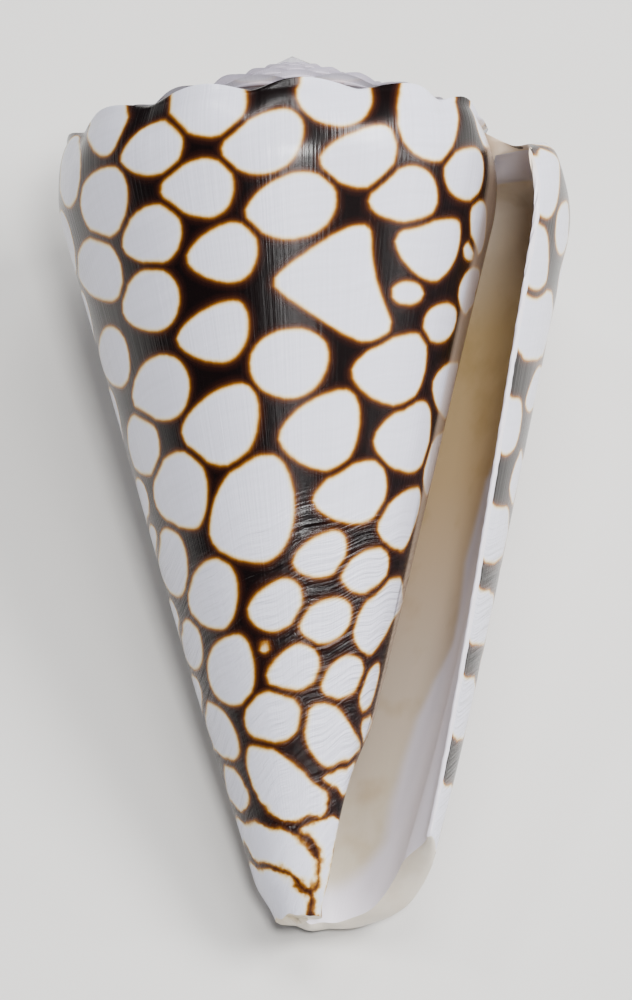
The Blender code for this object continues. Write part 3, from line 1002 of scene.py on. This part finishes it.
@dataclass(frozen=True)
class Porcelain:
    """Aragonite laid down smooth by the animal, the glossy patterned outside.

    White tents with a tan and brown rim stand on a brown-black net. Growth lines and fine spiral
    threads cross on it, and they break its highlights into a fine hatch.
    """

    name: str = "patterned aragonite, naturally polished"
    rim: tuple[tuple[float, str], ...] = (
        (0.0, "e0e0ee"),
        (0.11, "e6e3e4"),
        (0.20, "e6d9bd"),
        (0.28, "d0ae76"),
        (0.35, "996a24"),
        (0.43, "653a10"),
        (0.53, "3a1c0a"),
        (0.70, "1f0b07"),
        (1.0, "0b0404"),
    )
    worn: str = "c6c1cd"
    glazed: str = "c6ae97"
    # Dark brown for a line along the edge where the coil turns into the mouth, and for painted shade in the spire's
    # sutures
    line: str = "3a2415"
    roughness: float = 0.22
    ior: float = 1.53
    gloss: float = 0.25

    def _edge(self, tree: bpy.types.NodeTree, ragged: bpy.types.Node) -> bpy.types.Node:
        """Reads the tents' edges, and keeps a net line between neighbours.

        Args:
            tree: The material's node tree.
            ragged: The node that reads how ragged the pattern is.

        Returns:
            The node with the distance from the nearest edge in mm plus LAYER_SHIFT.
        """
        lows, highs = [], []
        for pair in (TENT_LAYERS[:2], TENT_LAYERS[2:]):
            first, second = (add_node(tree, "ShaderNodeAttribute", {"attribute_name": name}) for name in pair)
            for kind, found in (("MINIMUM", lows), ("MAXIMUM", highs)):
                found.append(
                    add_node(
                        tree,
                        "ShaderNodeMath",
                        {"operation": kind},
                        in_0=first.outputs["Fac"],
                        in_1=second.outputs["Fac"],
                    ).outputs[0]
                )
        nearest = add_node(tree, "ShaderNodeMath", {"operation": "MINIMUM"}, in_0=lows[0], in_1=lows[1])
        upper = add_node(tree, "ShaderNodeMath", {"operation": "MAXIMUM"}, in_0=lows[0], in_1=lows[1])
        other = add_node(tree, "ShaderNodeMath", {"operation": "MINIMUM"}, in_0=highs[0], in_1=highs[1])
        second = add_node(
            tree, "ShaderNodeMath", {"operation": "MINIMUM"}, in_0=upper.outputs[0], in_1=other.outputs[0]
        )
        apart = add_node(
            tree, "ShaderNodeMath", {"operation": "SUBTRACT"}, in_0=second.outputs[0], in_1=nearest.outputs[0]
        )
        half = add_node(
            tree, "ShaderNodeMath", {"operation": "MULTIPLY_ADD", 1: -0.1, 2: NET_HALF_WIDTH + LAYER_SHIFT}, in_0=ragged.outputs["Fac"]
        )
        net = add_node(
            tree,
            "ShaderNodeMath",
            {"operation": "MULTIPLY_ADD", 1: -0.5},
            in_0=apart.outputs[0],
            in_2=half.outputs[0],
        )
        return add_node(tree, "ShaderNodeMath", {"operation": "MAXIMUM"}, in_0=nearest.outputs[0], in_1=net.outputs[0])

    def make(self) -> bpy.types.Material:
        """Makes the material.

        Returns:
            The material, which reads the coil's UV map and the tent, ragged, ridged, line, glaze and worn
            attributes.
        """
        material = bpy.data.materials.new(self.name)
        material.use_nodes = True
        tree = material.node_tree
        shader = tree.nodes["Principled BSDF"]
        shader.inputs["Roughness"].default_value = self.roughness
        shader.inputs["IOR"].default_value = self.ior
        shader.inputs["Specular IOR Level"].default_value = self.gloss
        spot = add_node(tree, "ShaderNodeTexCoord")
        coil = add_node(tree, "ShaderNodeUVMap", {"uv_map": "coil"})
        ragged = add_node(tree, "ShaderNodeAttribute", {"attribute_name": "ragged"})
        ridged = add_node(tree, "ShaderNodeAttribute", {"attribute_name": "ridged"})
        # The line attribute also carries painted shade in the spire's sutures
        line = add_node(tree, "ShaderNodeAttribute", {"attribute_name": "line"})
        glaze = add_node(tree, "ShaderNodeAttribute", {"attribute_name": "glaze"})
        worn = add_node(tree, "ShaderNodeAttribute", {"attribute_name": "worn"})
        edge = self._edge(tree, ragged)
        # Growth lines run down the shell about 0.2 mm apart, drawn as a stretched noise
        lines = add_node(tree, "ShaderNodeMapping", {"Scale": (4.2, 0.07, 1.0)}, in_Vector=coil.outputs["UV"])
        growth = add_node(tree, "ShaderNodeTexNoise", {"Scale": 1.0, "Detail": 4.0}, in_Vector=lines.outputs[0])
        # Ridges near the front end run round it aslant, about 0.4 mm apart and a few millimetres long
        across = add_node(
            tree, "ShaderNodeVectorMath", {"operation": "DOT_PRODUCT", 1: (0.5, 2.1, 0.0)}, in_0=coil.outputs["UV"]
        )
        round_it = add_node(
            tree, "ShaderNodeVectorMath", {"operation": "DOT_PRODUCT", 1: (0.1, 0.02, 0.0)}, in_0=coil.outputs["UV"]
        )
        aslant = add_node(
            tree, "ShaderNodeCombineXYZ", in_X=across.outputs["Value"], in_Y=round_it.outputs["Value"]
        )
        threads = add_node(tree, "ShaderNodeTexNoise", {"Scale": 1.0, "Detail": 3.0}, in_Vector=aslant.outputs[0])
        # Edges of the tents wander by about 0.05 mm, and by a few tenths of a millimetre near the front end
        wander = add_node(tree, "ShaderNodeTexNoise", {"Scale": 900.0, "Detail": 3.0}, in_Vector=spot.outputs["Object"])
        centred = add_node(tree, "ShaderNodeMath", {"operation": "SUBTRACT", 1: 0.5}, in_0=wander.outputs["Fac"])
        reach = add_node(
            tree, "ShaderNodeMath", {"operation": "MULTIPLY_ADD", 1: 0.75, 2: 0.14}, in_0=ragged.outputs["Fac"]
        )
        moved = add_node(
            tree,
            "ShaderNodeMath",
            {"operation": "MULTIPLY_ADD"},
            in_0=centred.outputs[0],
            in_1=reach.outputs[0],
            in_2=edge.outputs[0],
        )
        share = add_node(
            tree,
            "ShaderNodeMapRange",
            {"From Min": LAYER_SHIFT - 0.5, "From Max": LAYER_SHIFT + 0.9},
            in_Value=moved.outputs[0],
        )
        rim = add_node(tree, "ShaderNodeValToRGB", in_0=share.outputs[0])
        ramp_colours(rim, self.rim)
        hatch = add_node(
            tree,
            "ShaderNodeMath",
            {"operation": "MULTIPLY"},
            in_0=growth.outputs["Fac"],
            in_1=threads.outputs["Fac"],
        )
        shade = add_node(
            tree,
            "ShaderNodeMapRange",
            {"From Min": 0.1, "From Max": 0.45, "To Min": 0.93, "To Max": 1.04},
            in_Value=hatch.outputs[0],
        )
        toned = add_node(
            tree,
            "ShaderNodeMix",
            {"data_type": "RGBA", "blend_type": "MULTIPLY", "Factor": 1.0},
            in_6=rim.outputs["Color"],
            in_7=shade.outputs[0],
        )
        pale = add_node(
            tree,
            "ShaderNodeMix",
            {"data_type": "RGBA", 7: linear_colour(self.worn)},
            in_0=worn.outputs["Fac"],
            in_6=toned.outputs[2],
        )
        veil = add_node(tree, "ShaderNodeMath", {"operation": "MULTIPLY", 1: 0.6}, in_0=glaze.outputs["Fac"])
        veiled = add_node(
            tree,
            "ShaderNodeMix",
            {"data_type": "RGBA", 7: linear_colour(self.glazed)},
            in_0=veil.outputs[0],
            in_6=pale.outputs[2],
        )
        # Painted shade: the line colour darkens the spire's sutures where the coils meet, and draws a line where the
        # coil turns into the mouth
        lined_and_shaded = add_node(
            tree,
            "ShaderNodeMix",
            {"data_type": "RGBA", 7: linear_colour(self.line)},
            in_0=line.outputs["Fac"],
            in_6=veiled.outputs[2],
        )
        tree.links.new(lined_and_shaded.outputs[2], shader.inputs["Base Color"])
        # Lines and ridges break the highlights into a fine hatch, most of all where the ridges are strong
        fine = add_node(
            tree, "ShaderNodeBump", {"Strength": 0.6, "Distance": 0.00007}, in_Height=growth.outputs["Fac"]
        )
        raised = add_node(
            tree,
            "ShaderNodeMath",
            {"operation": "MULTIPLY"},
            in_0=threads.outputs["Fac"],
            in_1=ridged.outputs["Fac"],
        )
        bump = add_node(
            tree,
            "ShaderNodeBump",
            {"Strength": 1.0, "Distance": 0.0003},
            in_Height=raised.outputs[0],
            in_Normal=fine.outputs[0],
        )
        tree.links.new(bump.outputs[0], shader.inputs["Normal"])
        return material


@dataclass(frozen=True)
class Enamel:
    """Clear glossy layers inside the mouth, tan deep in and cream towards the front end, with painted light: paler
    under the roof, and a lit band along the lip.
    """

    name: str = "inner aragonite enamel, glazed by the mantle"
    # Partly the enamel's cream, partly painted light: the top of the mouth, in the shade under the roof, is painted
    # paler
    deep: str = "f0e0cc"
    tan: str = "e0c18c"
    middle: str = "d6b88c"
    low: str = "d2c0ac"
    front: str = "d4c9b4"
    # Lavender white along the lip: partly the lip's paler enamel, partly painted light, the lit face near the lip
    # against the shaded wall deeper in
    lit_bevel: str = "e6e0e9"
    stain: str = "a5822f"
    roughness: float = 0.28
    ior: float = 1.53

    def make(self) -> bpy.types.Material:
        """Makes the material.

        Returns:
            The material, which reads the coil's UV map and the attribute for the pale band along the lip, which is
            partly painted light.
        """
        material = bpy.data.materials.new(self.name)
        material.use_nodes = True
        tree = material.node_tree
        shader = tree.nodes["Principled BSDF"]
        shader.inputs["Roughness"].default_value = self.roughness
        shader.inputs["IOR"].default_value = self.ior
        spot = add_node(tree, "ShaderNodeTexCoord")
        coil = add_node(tree, "ShaderNodeUVMap", {"uv_map": "coil"})
        lit_bevel = add_node(tree, "ShaderNodeAttribute", {"attribute_name": "lit_bevel"})
        parts = add_node(tree, "ShaderNodeSeparateXYZ", in_Vector=coil.outputs["UV"])
        down = add_node(tree, "ShaderNodeMapRange", {"From Min": 8.0, "From Max": 80.0}, in_Value=parts.outputs["Y"])
        tone = add_node(tree, "ShaderNodeValToRGB", in_0=down.outputs[0])
        # The tone down the mouth; its first stop is painted paler, a painted light under the roof
        stops = ((0.05, self.deep), (0.22, self.tan), (0.42, self.middle), (0.66, self.low), (0.92, self.front))
        ramp_colours(tone, stops)
        # Stains a few millimetres across
        cloud = add_node(tree, "ShaderNodeTexNoise", {"Scale": 220.0, "Detail": 4.0}, in_Vector=spot.outputs["Object"])
        amount = add_node(
            tree,
            "ShaderNodeMapRange",
            {"From Min": 0.52, "From Max": 0.75, "To Max": 0.35},
            in_Value=cloud.outputs["Fac"],
        )
        stained = add_node(
            tree,
            "ShaderNodeMix",
            {"data_type": "RGBA", 7: linear_colour(self.stain)},
            in_0=amount.outputs[0],
            in_6=tone.outputs["Color"],
        )
        # Painted light in part: the band along the lip is paler, as its face is lit and the wall deeper in is shaded
        edged = add_node(
            tree,
            "ShaderNodeMix",
            {"data_type": "RGBA", 7: linear_colour(self.lit_bevel)},
            in_0=lit_bevel.outputs["Fac"],
            in_6=stained.outputs[2],
        )
        tree.links.new(edged.outputs[2], shader.inputs["Base Color"])
        # Growth lines stay faintly raised under the glaze, about 0.5 mm apart
        lines = add_node(tree, "ShaderNodeMapping", {"Scale": (2.0, 0.04, 1.0)}, in_Vector=coil.outputs["UV"])
        growth = add_node(tree, "ShaderNodeTexNoise", {"Scale": 1.0, "Detail": 3.0}, in_Vector=lines.outputs[0])
        bump = add_node(
            tree, "ShaderNodeBump", {"Strength": 0.25, "Distance": 0.00005}, in_Height=growth.outputs["Fac"]
        )
        tree.links.new(bump.outputs[0], shader.inputs["Normal"])
        return material


class Shell:
    """Builds the shell as one closed mesh and dresses it."""

    def __init__(self, node: str) -> None:
        """Keeps the name of the frame's node that the shell stands for."""
        self.node = node
        self.form = GrownForm(CoilShape(), MeshSteps())
        self.stance = Stance()
        self.view = PhotoView()
        self.shift = self.stance.shift(self.form.outside)

    def world(self, points: np.ndarray) -> np.ndarray:
        """Points of the shell's own axes in the frame, in metres, with the worn flat pressed to the floor.

        Args:
            points: Points in the shell's own axes, in millimetres.

        Returns:
            The points in metres.
        """
        laid = points @ self.stance.turning.T + self.shift
        laid[..., 2] = np.maximum(laid[..., 2], 0.0)
        return laid * MM

    def build(self) -> bpy.types.Object:
        """Builds and dresses the shell.

        Returns:
            The finished piece.
        """
        form, steps = self.form, self.form.steps
        outside = form.outside
        lining = form.lining()
        lip, front = form.edges(lining)
        wall = form.back_wall(lining)
        outside.values.update(Markings(form, self.view).measure())
        depth = outside.values["depth"]
        outside.values["ragged"] = smooth((depth - 66.0) / 5.0)
        outside.values["ridged"] = smooth((depth - 42.0) / 8.0) * (1.0 - 0.6 * smooth((depth - 66.0) / 8.0))
        line = np.exp(-(((outside.turn - 1.0215) / 0.0035) ** 2))
        outside.values["line"] = 0.8 * line * smooth((depth - 40.0) / 8.0) * (1.0 - smooth((depth - 62.0) / 6.0))
        outside.values["glaze"] = smooth((outside.turn - 1.018 - 0.005 * smooth((depth - 38.0) / 8.0)) / 0.014)
        outside.values["glaze"] *= outside.along > 0.5
        outside.values["glaze"][steps.meet :, : steps.ramp_rows + 1] = 0.0
        worn = 0.8 * smooth((outside.turn - 1.05) / 0.2) + 0.15 * smooth((outside.turn - 1.6) / 1.2)
        outside.values["worn"] = worn * (outside.along < 1.5)
        # Painted shade in the spire's sutures: the line colour darkens both sides of each suture, where the coils meet
        # and shade falls
        size = form.shape.growth(outside.turn)
        above = (outside.along - outside.along[:, :1]) / size
        below = (outside.along[:, steps.ramp_rows : steps.ramp_rows + 1] - outside.along) / size
        suture_shade = np.exp(-((above / 0.5) ** 2)) + (1.0 - smooth((below - 0.1) / 0.4)) * (outside.turn > 1.04)
        suture_shade *= (outside.along < 1.5) & (outside.turn > 0.55)
        outside.values["line"] = np.maximum(outside.values["line"], 0.6 * np.minimum(suture_shade, 1.0))
        arc = lining.turn * 2.0 * math.pi * np.hypot(lining.points[..., 0], lining.points[..., 2])
        # Pale band along the lip: partly real pale enamel, partly painted light for the lit face near the lip against
        # the shaded wall
        lining.values["lit_bevel"] = 1.0 - smooth((arc - self._bevel_width(lining, arc)) / 1.4)
        below_roof = np.arange(steps.base + 1) - steps.ramp_rows
        lip.values["lit_bevel"] = np.repeat(smooth(below_roof / 6.0)[None, :], steps.edge + 1, axis=0)
        front.values["lit_bevel"] = 0.15 * np.ones(front.turn.shape)
        self.finishes = [Porcelain().make(), Enamel().make()]
        sheets = [(outside, 0, False), (lining, 1, True), (lip, 1, True), (front, 1, False), (wall, 1, False)]
        pieces = [self._lay(sheet, slot, flip) for sheet, slot, flip in sheets]
        self._trim(pieces[0], outside)
        shell = self._join(pieces)
        shell.name = "shell"
        self._close(shell)
        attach(shell, "root")
        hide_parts(self.node)
        shell.data.calc_loop_triangles()
        LOG.info("shell: %d triangles from %d columns", len(shell.data.loop_triangles), steps.last)
        return shell

    def _bevel_width(self, lining: Sheet, arc: np.ndarray) -> np.ndarray:
        """Width of the bevel at each point of the lining, from where the photograph shows its inner edge.

        Args:
            lining: The inside of the mouth.
            arc: Way round the coil from the lip at each point, in millimetres.

        Returns:
            The width in millimetres.
        """
        pixels = self.view.project(lining.points)
        reachable = (arc > 4.0) & (arc < 15.0) & (np.arange(arc.shape[1]) > self.form.steps.ramp_rows + 12)
        found = [(30.0, 8.0)]
        for across, down in BEVEL_EDGE:
            gap = np.hypot(pixels[..., 0] - across, pixels[..., 1] - down)
            spot = np.unravel_index(int(np.where(reachable, gap, 1e9).argmin()), gap.shape)
            found.append((float(lining.along[spot]), float(arc[spot])))
        found.sort()
        LOG.info("bevel (depth, width): %s", [(round(depth, 1), round(width, 1)) for depth, width in found])
        return np.interp(lining.along, [depth for depth, _ in found], [width for _, width in found])

    def _lay(self, sheet: Sheet, slot: int, flip: bool) -> bpy.types.Object:
        """Shapes a grid into one sheet.

        Args:
            sheet: The sheet's points and values.
            slot: Number of its material.
            flip: Whether its faces turn the other way.

        Returns:
            The sheet as an object.
        """
        columns, rows = sheet.turn.shape
        bpy.ops.object.select_all(action="DESELECT")
        bpy.ops.mesh.primitive_grid_add(x_subdivisions=columns - 1, y_subdivisions=rows - 1, size=1.0)
        piece = bpy.context.active_object
        piece.name = sheet.name
        mesh = piece.data
        flat = np.empty(len(mesh.vertices) * 3, np.float32)
        mesh.vertices.foreach_get("co", flat)
        flat = flat.reshape(-1, 3)
        column = np.rint((flat[:, 0] + 0.5) * (columns - 1)).astype(int)
        row = np.rint((flat[:, 1] + 0.5) * (rows - 1)).astype(int)
        mesh.vertices.foreach_set("co", self.world(sheet.points[column, row]).astype(np.float32).ravel())
        corner = np.empty(len(mesh.loops), np.int32)
        mesh.loops.foreach_get("vertex_index", corner)
        while mesh.uv_layers:
            mesh.uv_layers.remove(mesh.uv_layers[0])
        coil = mesh.uv_layers.new(name="coil")
        places = np.stack([sheet.turn[column, row] * 100.0, sheet.along[column, row]], axis=-1)[corner]
        coil.data.foreach_set("uv", places.astype(np.float32).ravel())
        for name in (*TENT_LAYERS, "ragged", "ridged", "line", "glaze", "worn", "lit_bevel"):
            values = sheet.values.get(name, np.zeros(sheet.turn.shape))
            layer = mesh.attributes.new(name, "FLOAT", "CORNER")
            layer.data.foreach_set("value", values[column, row][corner].astype(np.float32))
        for finish in self.finishes:
            mesh.materials.append(finish)
        mesh.polygons.foreach_set("material_index", np.full(len(mesh.polygons), slot, np.int32))
        mesh.update()
        if flip:
            mesh.flip_normals()
        return piece

    def _trim(self, piece: bpy.types.Object, sheet: Sheet) -> None:
        """Removes the outside's faces that a later coil covers or that the hollow leaves out.

        Args:
            piece: The outside.
            sheet: Its grid.
        """
        steps = self.form.steps
        mesh = piece.data
        columns, rows = sheet.turn.shape
        grid = np.zeros((columns, rows), np.int64)
        order = np.empty(len(mesh.vertices), np.int64)
        order[:] = np.arange(len(order))
        grid[:] = order.reshape(rows, columns).T
        column_of = np.empty(len(order), int)
        row_of = np.empty(len(order), int)
        column_of[grid.ravel()] = np.repeat(np.arange(columns), rows)
        row_of[grid.ravel()] = np.tile(np.arange(rows), columns)
        corner = np.empty(len(mesh.loops), np.int32)
        mesh.loops.foreach_get("vertex_index", corner)
        corner = corner.reshape(-1, 4)
        column = column_of[corner].min(axis=1)
        row = row_of[corner].min(axis=1)
        covered = (column >= steps.deep) & (row >= steps.ramp_rows)
        covered |= (column >= steps.meet) & (row >= steps.ramp_rows) & (row < steps.ramp_rows + steps.edge)
        bpy.ops.object.select_all(action="DESELECT")
        piece.select_set(True)
        bpy.context.view_layer.objects.active = piece
        mesh.polygons.foreach_set("select", covered)
        bpy.ops.object.mode_set(mode="EDIT")
        bpy.ops.mesh.select_mode(type="FACE")
        bpy.ops.object.mode_set(mode="OBJECT")
        mesh.polygons.foreach_set("select", covered)
        bpy.ops.object.mode_set(mode="EDIT")
        bpy.ops.mesh.delete(type="FACE")
        bpy.ops.object.mode_set(mode="OBJECT")

    def _join(self, pieces: list[bpy.types.Object]) -> bpy.types.Object:
        """Joins the sheets and welds them along their shared edges.

        Args:
            pieces: The sheets.

        Returns:
            The shell.
        """
        bpy.ops.object.select_all(action="DESELECT")
        for piece in pieces:
            piece.select_set(True)
        bpy.context.view_layer.objects.active = pieces[0]
        bpy.ops.object.join()
        bpy.ops.object.mode_set(mode="EDIT")
        bpy.ops.mesh.select_mode(type="VERT")
        bpy.ops.mesh.select_all(action="SELECT")
        bpy.ops.mesh.remove_doubles(threshold=0.000001)
        bpy.ops.object.mode_set(mode="OBJECT")
        return bpy.context.active_object

    def _close(self, shell: bpy.types.Object) -> None:
        """Closes the tip of the spire and the foot of the column, and smooths the shading.

        Args:
            shell: The welded shell.
        """
        bpy.ops.object.mode_set(mode="EDIT")
        bpy.ops.mesh.select_mode(type="EDGE")
        bpy.ops.mesh.select_all(action="SELECT")
        open_faces = len(shell.data.polygons)
        bpy.ops.mesh.fill_holes(sides=0)
        bpy.ops.object.mode_set(mode="OBJECT")
        for polygon in shell.data.polygons[open_faces:]:
            polygon.material_index = 1
        bpy.ops.object.mode_set(mode="EDIT")
        bpy.ops.mesh.select_all(action="SELECT")
        bpy.ops.mesh.quads_convert_to_tris(quad_method="SHORTEST_DIAGONAL", ngon_method="BEAUTY")
        bpy.ops.mesh.select_all(action="SELECT")
        bpy.ops.mesh.normals_make_consistent(inside=False)
        bpy.ops.mesh.select_all(action="DESELECT")
        bpy.ops.object.mode_set(mode="OBJECT")
        bpy.ops.object.shade_smooth_by_angle(angle=math.radians(50.0))


@dataclass(frozen=True)
class Paper:
    """Seamless studio paper, matt and pale."""

    name: str = "studio paper, matt"
    tone: str = "dfddd9"

    def make(self) -> bpy.types.Material:
        """Makes the material.

        Returns:
            The material.
        """
        material = bpy.data.materials.new(self.name)
        material.use_nodes = True
        tree = material.node_tree
        shader = tree.nodes["Principled BSDF"]
        shader.inputs["Base Color"].default_value = linear_colour(self.tone)
        shader.inputs["Roughness"].default_value = 0.9
        return material


@dataclass
class Softbox:
    """A square studio light: where it stands, how wide it is and how strong. Metres and watts."""

    name: str
    place: tuple[float, float, float]
    width: float
    power: float
    aim: tuple[float, float, float] = (0.0, 0.0, 0.02)

    def build(self) -> None:
        """Sets the light up, aimed at the shell."""
        light = bpy.data.lights.new(self.name, "AREA")
        light.energy = self.power
        light.size = self.width
        lamp = bpy.data.objects.new(self.name, light)
        lamp.location = self.place
        lamp.rotation_euler = (Vector(self.aim) - Vector(self.place)).to_track_quat("-Z", "Y").to_euler()
        bpy.context.scene.collection.objects.link(lamp)


class Studio:
    """The floor, the lights and the camera."""

    def __init__(self, shell: Shell) -> None:
        """Keeps the shell, whose axes the camera follows."""
        self.shell = shell
        self.lights = [
            Softbox("key", (0.05, 0.24, 0.66), 0.26, 2.6),
            Softbox("behind", (-0.19, 0.29, 0.50), 0.05, 0.5),
            Softbox("right", (0.40, 0.04, 0.50), 0.24, 5.4),
            Softbox("sheen", (0.58, -0.08, 0.24), 0.08, 0.8),
            Softbox("front", (0.05, -0.22, 0.62), 0.09, 3.1),
            Softbox("low_front", (-0.07, -0.38, 0.50), 0.05, 0.12),
        ]

    def build(self) -> None:
        """Builds the studio."""
        bpy.ops.object.select_all(action="DESELECT")
        bpy.ops.mesh.primitive_plane_add(size=6.0, location=(0.0, 0.0, 0.0))
        floor = bpy.context.active_object
        floor.name = "floor"
        floor.data.materials.append(Paper().make())
        for light in self.lights:
            light.build()
        world = bpy.data.worlds.new("studio_air")
        world.use_nodes = True
        world.node_tree.nodes["Background"].inputs["Color"].default_value = linear_colour("eaeef8")
        world.node_tree.nodes["Background"].inputs["Strength"].default_value = 0.17
        bpy.context.scene.world = world
        self._camera()

    def _camera(self) -> None:
        """Sets the camera up where the photograph was taken from."""
        view = self.shell.view
        turning = self.shell.stance.turning
        aim = self.shell.shift + turning @ np.array([0.0, -view.aim_depth, 0.0])
        away = turning @ view.away
        up = turning @ view.up
        side = np.cross(up, away)
        cos, sin = math.cos(view.roll), math.sin(view.roll)
        right = side * cos - up * sin
        upward = up * cos + side * sin
        data = bpy.data.cameras.new("camera")
        data.sensor_fit = "VERTICAL"
        data.sensor_height = 24.0
        wide, high = view.frame
        data.lens = view.pixels_per_mm * view.distance / high * data.sensor_height
        data.shift_x = (wide / 2 - view.aim_x) / high
        data.shift_y = (view.aim_y - high / 2) / high
        data.clip_start = 0.01
        camera = bpy.data.objects.new("camera", data)
        turned = Matrix(np.stack([right, upward, away], axis=1).tolist()).to_4x4()
        turned.translation = Vector(((aim + away * view.distance) * MM).tolist())
        camera.matrix_world = turned
        bpy.context.scene.collection.objects.link(camera)
        bpy.context.scene.camera = camera


def main() -> None:
    """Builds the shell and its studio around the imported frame."""
    logging.basicConfig(level=logging.INFO, format="%(message)s")
    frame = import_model()
    node = next(iter(frame["nodes"]))
    shell = Shell(node)
    piece = shell.build()
    LOG.info("built %s", piece.name)
    Studio(shell).build()
    LOG.info("built the studio")


if __name__ == "__main__":
    main()
